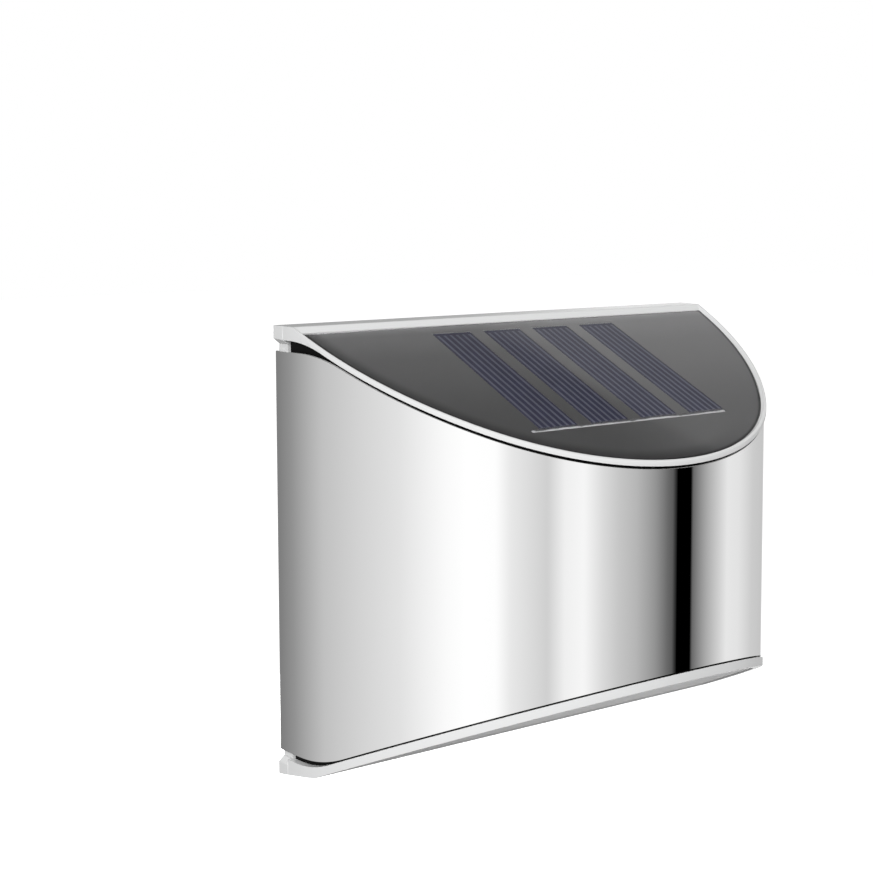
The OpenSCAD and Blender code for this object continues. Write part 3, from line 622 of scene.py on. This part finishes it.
bm = bmesh.new()
ends = [bm.verts.new((0, -shade_depth, z)) for z in (-half_h, half_h)]
seam = bm.edges.new(ends)
spin_plan(bm, [*ends, seam])
mirror_half(bm)
for v in bm.verts:
    wall_z, front_z = sheet_top if v.co.z > 0 else sheet_bottom
    v.co.z = math.copysign(cut_height(wall_z, front_z, edge_round, -v.co.y), v.co.z)
bmesh.ops.recalc_face_normals(bm, faces=bm.faces)
foremost = min(bm.faces, key=lambda face: face.calc_center_median().y)
if foremost.normal.y > 0:
    bmesh.ops.reverse_faces(bm, faces=bm.faces)
mirror_shade = make_piece("mirror_shade", bm, "polished_steel", steel, sheared_edge,
                          stands_for=["steel_shade"])
add_modifier(mirror_shade, "SOLIDIFY", thickness=sheet_t * MM, offset=-1, material_offset_rim=1,
             use_even_offset=True)
add_modifier(mirror_shade, "WEIGHTED_NORMAL", keep_sharp=True, weight=100)

# %% [markdown]
# The rim round the panel is not a flat lip but a bevelled frame: from a narrow ridge it slopes
# down to the cover. From in front the near side hides that slope, so the rim looks thin there,
# and the far side shows it as a second, greyer band. The construction has the plain lip, so its
# wall is cut at the cover's height and the upper edge is slid out to the ridge.

# %% Bevelled lip
ridge_w = 0.55
rear_ridge_w = 0.25
ridge_off = rim_proud - ridge_w
ridge_rear = top_break + rear_ridge_w
ridge_side = math.sqrt((side_r + ridge_off) ** 2 - ridge_rear ** 2) - side_x
same_place = 0.03


def slope_height(q, depth=0):
    """Height of the panel's plane, or of one below it, at this distance from the wall."""
    return top_plane - slope * q - depth / lean


def on_outline(x, y, off):
    """The point of the plan's outline, moved out by off, that lies beside a point."""
    in_front = abs(x) < (-y - front_q) * math.tan(arc_join)
    centre = Vector((0, -front_q)) if in_front else Vector((math.copysign(side_x, -x), 0))
    radius = front_r if in_front else side_r
    return centre + (Vector((x, y)) - centre).normalized() * (radius + off)


def bevel_lip(bm):
    def at_rear(v):
        return abs(v.co.y + pocket_rear) < same_place

    def on_wall(v):
        to_side = v.co.xy - on_outline(v.co.x, v.co.y, pocket_off)
        return at_rear(v) or to_side.length < same_place

    walls = [face for face in bm.faces if all(on_wall(v) for v in face.verts)]
    edges = {edge for face in walls for edge in face.edges}
    bmesh.ops.bisect_plane(bm, geom=[*walls, *edges], dist=seam_gap, plane_no=(0, -slope, 1),
                           plane_co=(0, 0, slope_height(0, cover_sink)))
    moved = 0
    for v in bm.verts:
        if abs(v.co.z - slope_height(-v.co.y)) > same_place or not on_wall(v):
            continue
        if at_rear(v):
            v.co.xy = math.copysign(ridge_side, v.co.x), -ridge_rear
        else:
            v.co.xy = on_outline(v.co.x, v.co.y, ridge_off)
        v.co.z = slope_height(-v.co.y)
        moved += 1
    print("lip bevelled at", moved, "points from", len(walls), "wall faces")


print(f"the lip keeps a ridge of {ridge_w} mm of its {lip_w} mm")

# %% [markdown]
# The white frames, the back plate, the screws and the switch have the right shape already, but
# construction solids have knife edges, and a real moulding never does: its edges are rounded by
# a tenth or two of a millimetre, and that thin round catches the light as a bright line. A copy
# of the construction mesh is merged, its flat triangles are joined back into faces, very short
# edges are closed so that they can't hold the bevel back, and the sharp edges are bevelled. The
# bevel can push a point out at an acute corner, so all points are held inside the old box. The
# front corners of the square ears are drawn in a little, as the draft of a mould does.

# %% Softened copies of construction pieces
ear_x = 54
ear_front = 3
ear_taper_x = 53.93
weld_gap = 0.002
flat_angle = math.radians(0.5)


def round_edges(bm, edges, width, clamp):
    """Bevels edges in two steps, which looks round at this size."""
    bmesh.ops.bevel(bm, geom=edges, offset=width, offset_type="OFFSET", segments=2, profile=0.5,
                    affect="EDGES", clamp_overlap=clamp, material=-1)


def softened(name, node, slot, material, width, gap=0.1, body="light_body", sharp=28,
             reshape=None):
    bm = bmesh.new()
    bm.from_mesh(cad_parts[node].data)
    bmesh.ops.scale(bm, vec=(1 / MM, 1 / MM, 1 / MM), verts=bm.verts)
    bmesh.ops.remove_doubles(bm, verts=bm.verts, dist=weld_gap)
    for v in bm.verts:
        if abs(v.co.x) > ear_x and -v.co.y > ear_front:
            v.co.x = math.copysign(ear_taper_x, v.co.x)
    bmesh.ops.dissolve_limit(bm, angle_limit=flat_angle, verts=bm.verts, edges=bm.edges)
    bmesh.ops.remove_doubles(bm, verts=bm.verts, dist=gap)
    bmesh.ops.dissolve_degenerate(bm, dist=seam_gap, edges=bm.edges)
    if reshape:
        reshape(bm)
    edges = [e for e in bm.edges if e.calc_face_angle(0) > math.radians(sharp)]
    low, high = (Vector(pick(v.co[i] for v in bm.verts) for i in range(3)) for pick in (min, max))
    round_edges(bm, edges, width, clamp=False)
    for v in bm.verts:
        v.co = [min(max(v.co[i], low[i]), high[i]) for i in range(3)]
    piece = make_piece(name, bm, slot, material, body=body, stands_for=[node], crisp=40)
    add_modifier(piece, "WEIGHTED_NORMAL", keep_sharp=True, weight=50)


softened("moulded_top", "top_frame", "white_plastic", white_plastic, width=0.12,
         reshape=bevel_lip)
softened("moulded_bottom", "bottom_frame", "white_plastic", white_plastic, width=0.1)
softened("moulded_back", "back_plate", "white_plastic", white_plastic, width=0.12, gap=0.05)
softened("frosted_lens", "light_lens", "milky_lens", finishes["light_lens"], width=0.2)
softened("wall_side_screws", "housing_screws", "screw_steel", zinc, width=0.1, gap=0.02)
softened("lower_screws", "bottom_screws", "screw_steel", zinc, width=0.1, gap=0.02)
softened("slide_knob", "switch_slider", "slider_plastic", slider_nylon, width=0.08, gap=0.02,
         body="slider")
print("softened copies ready")

# %% [markdown]
# The sloped layers of the panel are plates with the outline of the plan. Such a plate is spun
# and mirrored like the sheet, but from one point, so that it gives an outline. The outline is
# filled, given its thickness straight down, and then the whole plate is sheared, which tips it
# into the slope while its sides stay upright, just as the frame's wall does. The layers are
# pressed together: print, strips and lines reach a few hundredths of a millimetre into the cover,
# so that no gap of air shows between them.

# %% Sloped plates
def tip(bm, depth):
    """Shears flat geometry so that height zero lies at this depth below the panel's plane."""
    shear = Matrix.Identity(4)
    shear[2][1] = slope
    shear[2][3] = slope_height(0, depth)
    bmesh.ops.transform(bm, matrix=shear, verts=bm.verts)


def plate_outline(off, rear):
    bm = bmesh.new()
    start = bm.verts.new((0, -shade_depth - off, 0))
    spin_plan(bm, [start], off, rear)
    mirror_half(bm)
    corners = sorted(bm.verts, key=lambda v: v.co.y)[-2:]
    bm.edges.new(corners)
    return bm


def thicken(bm, thickness):
    """Extrudes flat faces straight down."""
    made = bmesh.ops.extrude_face_region(bm, geom=bm.faces[:])
    lower = [g for g in made["geom"] if isinstance(g, bmesh.types.BMVert)]
    bmesh.ops.translate(bm, verts=lower, vec=(0, 0, -thickness / lean))
    bmesh.ops.recalc_face_normals(bm, faces=bm.faces)


print("plate helpers ready")

# %% [markdown]
# The cover is the first such plate. It lies in the frame's pocket with a hair of play all round,
# and only its upper edge is rounded, where it catches the light. It casts no shadow of its own,
# because clear plastic barely does and the layers under it have to stay readable.

# %% Smoked cover
cover_off = pocket_off - play
cover_rear = pocket_rear + play
cover_t = 0.496
cover_edge = 0.1
square_edge = math.radians(45)

bm = plate_outline(cover_off, cover_rear)
bmesh.ops.contextual_create(bm, geom=bm.edges[:])
thicken(bm, cover_t)
rim_edges = [e for e in bm.edges if e.calc_face_angle(0) > square_edge]
round_edges(bm, [e for e in rim_edges if all(v.co.z == 0 for v in e.verts)], cover_edge, clamp=True)
tip(bm, cover_sink)
smoked_cover = make_piece("smoked_cover", bm, "smoked_cover", smoke, stands_for=["panel_cover"])
add_modifier(smoked_cover, "WEIGHTED_NORMAL", keep_sharp=True, weight=100)
smoked_cover.visible_shadow = False

# %% [markdown]
# The print on the back of the cover is a layer of its own, so that the smoke lies over it. It
# covers everything round the windows through which the strips and the ribbon show. Their places
# are worked out first, from the board that carries them.

# %% Places of the strips and the ribbon
board_shift = 0.1
board_rear = 10.4
board_inset = 10.8
cell_count = 4
cell_w = 9.2
cell_pitch = 12.7
cell_margin = 0.3
cell_inset = 4.6
cell_rear = board_rear + cell_margin
cell_front = shade_depth - board_inset - cell_inset
ribbon_l = 48.5
ribbon_w = 0.42
ribbon_shift = 1.2
ribbon_ahead = 0.7
ribbon_x = -board_shift - ribbon_shift
ribbon_q = cell_front + ribbon_ahead


def spread(count, pitch):
    """Evenly spaced places, with their middle at zero."""
    return [(i - (count - 1) / 2) * pitch for i in range(count)]


cell_places = [-board_shift + place for place in spread(cell_count, cell_pitch)]
print("strips at", [round(x, 2) for x in cell_places], "ribbon", round(ribbon_q, 2), "from the wall")

# %% [markdown]
# One function adds a window's four edges. The fill operator then takes the outline and all the
# windows' edges together and leaves the windows open.

# %% Printed border
print_t = 0.03
print_depth = 0.95
print_inset = 0.02
window_margin = 0.15
ribbon_room = 0.3
ribbon_end_room = 0.6


def add_window(bm, x, rear, front, width):
    corners = ((x - width / 2, rear), (x + width / 2, rear), (x + width / 2, front),
               (x - width / 2, front))
    ring = [bm.verts.new((side, -q, 0)) for side, q in corners]
    for first, second in zip(ring, ring[1:] + ring[:1]):
        bm.edges.new((first, second))


bm = plate_outline(cover_off - print_inset, cover_rear + print_inset)
for x in cell_places:
    add_window(bm, x, cell_rear - window_margin, cell_front + window_margin,
               cell_w + 2 * window_margin)
add_window(bm, ribbon_x, ribbon_q - ribbon_w / 2 - ribbon_room,
           ribbon_q + ribbon_w / 2 + ribbon_room, ribbon_l + 2 * ribbon_end_room)
bmesh.ops.triangle_fill(bm, edges=bm.edges[:], use_beauty=True, normal=(0, 0, 1))
thicken(bm, print_t)
tip(bm, print_depth)
make_piece("cover_print", bm, "panel_backing", print_and_painted_light)

# %% [markdown]
# The four strips are thin slices whose edges are slightly rounded, and each carries six raised
# paste lines that stop short of its upper end. Strips and lines are all flat bars, so one
# function adds a rounded bar, loops do the rest, and the shear tips them into the slope.

# %% Solar strips
cell_t = 0.26
cell_depth = 0.985
cell_edge = 0.06
finger_count = 6
finger_pitch = 1.53
finger_w = 0.6
finger_t = 0.03
finger_short = 0.8
finger_edge = 0.01


def add_bar(bm, x, q, w, l, t, rounding):
    """A flat bar with rounded upper edges, given by its middle, width, length and thickness."""
    made = bmesh.ops.create_cube(bm, size=1)["verts"]
    bmesh.ops.scale(bm, vec=(w, l, t), verts=made)
    bmesh.ops.translate(bm, vec=(x, -q, 0), verts=made)
    edges = {e for v in made for e in v.link_edges}
    round_edges(bm, [e for e in edges if all(v.co.z > 0 for v in e.verts)], rounding, clamp=True)


cell_mid = (cell_rear + cell_front) / 2
cell_l = cell_front - cell_rear

bm = bmesh.new()
for x in cell_places:
    add_bar(bm, x, cell_mid, cell_w, cell_l, cell_t / lean, cell_edge)
tip(bm, cell_depth + cell_t / 2)
make_piece("silicon_strips", bm, "cell_silicon", wafer, stands_for=["solar_cells"])

bm = bmesh.new()
for x in cell_places:
    for side in spread(finger_count, finger_pitch):
        add_bar(bm, x + side, cell_mid + finger_short / 2, finger_w, cell_l - finger_short,
                finger_t, finger_edge)
tip(bm, cell_depth)
make_piece("paste_lines", bm, "tinned_ribbon", paste)

# %% [markdown]
# The ribbon is soldered by hand, so it is never quite straight: it rises where it meets a strip,
# sinks between them and wanders by about a tenth of a millimetre. It starts as a fine grid one
# ribbon wide. Sines move its points, a short fold between each two strips breaks its shine, the
# solidify operator gives it thickness, and a flattened ball of solder sits on each end.

# %% Tinned ribbon
ribbon_t = 0.1
ribbon_depth = 1.12
sways = ((0.09, 0.31, 0), (0.04, 1.7, 1))       # reach, turn per millimetre, start
ripple_h, ripple_turn = 0.012, 2.3
ride_h = 0.035
crown_h = 0.04
fold_h = 0.16
fold_l = 0.4
fold_shift = -1
ball_size = (1.1, 0.8, 0.2)

bm = bmesh.new()
bmesh.ops.create_grid(bm, x_segments=120, y_segments=2, size=0.5)
bmesh.ops.scale(bm, vec=(ribbon_l, ribbon_w, 1), verts=bm.verts)
bmesh.ops.translate(bm, vec=(ribbon_x, -ribbon_q, 0), verts=bm.verts)
for v in bm.verts:
    over_cells = math.cos(2 * math.pi * (v.co.x - cell_places[0]) / cell_pitch)
    crown = 1 - ((v.co.y + ribbon_q) / ribbon_w * 2) ** 2
    ripple = math.sin(v.co.x * ripple_turn)
    v.co.y += sum(reach * math.sin(v.co.x * turn + start) for reach, turn, start in sways)
    v.co.z += ride_h * over_cells + crown_h * crown + ripple_h * ripple
    for left, right in zip(cell_places, cell_places[1:]):
        from_fold = v.co.x - (left + right) / 2 - fold_shift
        v.co.z -= fold_h * math.exp(-(from_fold / fold_l) ** 2)
bmesh.ops.solidify(bm, geom=bm.faces[:], thickness=ribbon_t)
bmesh.ops.recalc_face_normals(bm, faces=bm.faces)
for end in (-1, 1):
    ball = bmesh.ops.create_icosphere(bm, subdivisions=3, radius=0.5)["verts"]
    bmesh.ops.scale(bm, vec=ball_size, verts=ball)
    bmesh.ops.translate(bm, vec=(ribbon_x + end * ribbon_l / 2, -ribbon_q, 0), verts=ball)
tip(bm, ribbon_depth)
make_piece("solder_ribbon", bm, "tinned_ribbon", tin, stands_for=["bus_ribbon"], crisp=70)

# %% [markdown]
# A mirror needs a room to show. The world is that room, painted by direction. Glossy rays see a
# studio: round the horizon a ring of pale walls with one narrow black flag, which gives the steel
# its upright bands. A direction is turned into an angle round the vertical axis, zero straight in
# front of the light and growing towards +X, and a ramp gives each angle its brightness. The
# stops are in degrees, and the ramp takes a whole turn as 1.

# %% Studio walls for reflections
wall_stops = [(-180, 0.6), (-150, 0.2), (-141, 0.28), (-124, 0.52), (-107, 0.64), (-90, 0.75),
              (-72, 0.95), (-64, 1.0), (-53, 0.98), (-46, 0.8), (-29, 0.62), (-21, 0.86), (-12, 0.92),
              (-3, 0.7), (5, 0.56), (14, 0.46), (24, 0.29), (31, 0.14), (34.6, 0.09), (35.6, 0.0),
              (45, 0.0), (45.8, 0.12), (56, 0.4), (72, 0.78), (83, 0.75), (100, 0.58), (124, 0.5),
              (132, 1.0), (139, 0.9), (144, 0.2), (154, 0.05), (180, 0.6)]
wall_glow = 1.15

world = bpy.data.worlds.new("studio")
bpy.context.scene.world = world
world.use_nodes = True
w = Nodes(world.node_tree)
dx, dy, dz = w.split(w.node("TexCoord", out="Generated"))
angle = w.math("ARCTAN2", dx, dy * -1)
ramp = w.node("ValToRGB", {"stops": [((a + 180) / 360, grey(b)) for a, b in wall_stops]},
              {0: angle * (0.5 / math.pi) + 0.5})
walls = w.scale(ramp, wall_glow)
print("walls painted with", len(wall_stops), "stops")

# %% [markdown]
# Above the walls is a dim ceiling, so that the panel stays dark, but it isn't even. The panel's
# shine grows paler towards the wall and has one straight change of tone, as if something large
# and pale stood off to one side. Both are planes through the eye: a direction is on one side of
# such a plane or on the other, and the dot product with the plane's normal says how far.

# %% Ceiling over the panel
pale_wall_plane, pale_wall_span = (0.0695, 0.8034, -0.5914), (-0.008, 0.093)
straight_edge_plane, straight_edge_span = (-0.4308, -0.4855, 0.7607), (-0.004, 0.004)
ceiling_dim, pale_wall_rise, edge_rise = 0.06, 0.4, 0.17
ceiling_from = (0.15, 0.4)


def side_of(x, y, z):
    return dx * x + dy * y + dz * z


pale_wall = side_of(*pale_wall_plane).rise(*pale_wall_span)
straight_edge = side_of(*straight_edge_plane).rise(*straight_edge_span)
ceiling = ceiling_dim + pale_wall * pale_wall_rise + (1 - straight_edge) * edge_rise
studio = w.mix(dz.rise(*ceiling_from), walls, w.mix(ceiling, grey(0), grey(1)))
print("walls give way to the ceiling where a direction rises by", ceiling_from)

# %% [markdown]
# The camera sees plain white, also through clear plastic. All rays that are neither seen nor
# glossy meet a soft sky that is brighter above than below and dimmer behind the wall, so that
# the faces that look back into the rim turn grey.

# %% Sky for soft light
sky_below, sky_above, sky_span = 0.24, 0.42, (-0.5, 0.6)
behind_span, behind_dimmer = (-0.2, 0.6), 0.5

open_sky = w.mix(dz.rise(*sky_span), grey(sky_below), grey(sky_above))
sky = w.scale(open_sky, 1 - dy.rise(*behind_span) * behind_dimmer)
camera_ray, clear_ray, glossy_ray = (
    w.node("LightPath", out=f"Is {kind} Ray") for kind in ("Camera", "Transmission", "Glossy"))
unseen = w.mix(glossy_ray, sky, studio)
colour = w.mix(w.math("MAXIMUM", camera_ray, clear_ray), unseen, grey(1))
background = w.node("Background", sockets={"Color": colour, "Strength": 1.0})
w.node("OutputWorld", sockets={"Surface": background})
print("studio world has", len(world.node_tree.nodes), "nodes")

# %% [markdown]
# One large soft lamp stands on the left, in front of the light and above it, and a weaker one
# fills from the right. A third stands low behind the wall, for the views of the back. Their size
# makes the shadows soft. The steel shows the painted room and not the lamps, so they are hidden
# from glossy rays.

# %% Lamps
def soft_lamp(name, place, size, power):
    data = bpy.data.lights.new(name, "AREA")
    data.size = size
    data.energy = power
    lamp = bpy.data.objects.new(name, data)
    lamp.location = place
    lamp.rotation_euler = (-Vector(place)).to_track_quat("-Z", "Y").to_euler()
    lamp.visible_glossy = False
    bpy.context.scene.collection.objects.link(lamp)
    print(f"{name}: {power} W from {Vector(place).length:.2f} m")


soft_lamp("key_lamp", place=(-1.1, -0.9, 0.6), size=0.7, power=17.5)
soft_lamp("fill_lamp", place=(0.9, -0.7, 0.5), size=0.6, power=2.4)
soft_lamp("back_lamp", place=(0.35, 1.1, -0.15), size=0.6, power=7)

# %% [markdown]
# The floor is a pale sheet well below the light, which hangs on a fence. It is there for a faint
# shadow and keeps the picture's white: to the camera it glows, and it adds nothing to what the
# steel or the white frames reflect.

# %% Floor
floor_z = -0.36
floor_half_w = 6
floor_grey = 0.8
floor_glow = 0.85

bm = bmesh.new()
bmesh.ops.create_grid(bm, x_segments=1, y_segments=1, size=floor_half_w)
bmesh.ops.translate(bm, vec=(0, 0, floor_z), verts=bm.verts)
mesh = bpy.data.meshes.new("floor")
bm.to_mesh(mesh)
bm.free()
floor = bpy.data.objects.new("floor", mesh)
bpy.context.scene.collection.objects.link(floor)
floor.visible_glossy = False
floor.visible_diffuse = False

paper = Finish("floor_paper")
pale = paper.principled(base_color=grey(floor_grey), roughness=0.9)
glow = paper.node("Emission", sockets={"Color": grey(1), "Strength": floor_glow})
seen = paper.node("LightPath", out="Is Camera Ray")
seen_glow = paper.node("MixShader", sockets={0: seen, 2: glow})
floor.data.materials.append(paper.done(paper.node("AddShader", sockets={0: pale, 1: seen_glow})))
print("floor at", floor_z, "m")
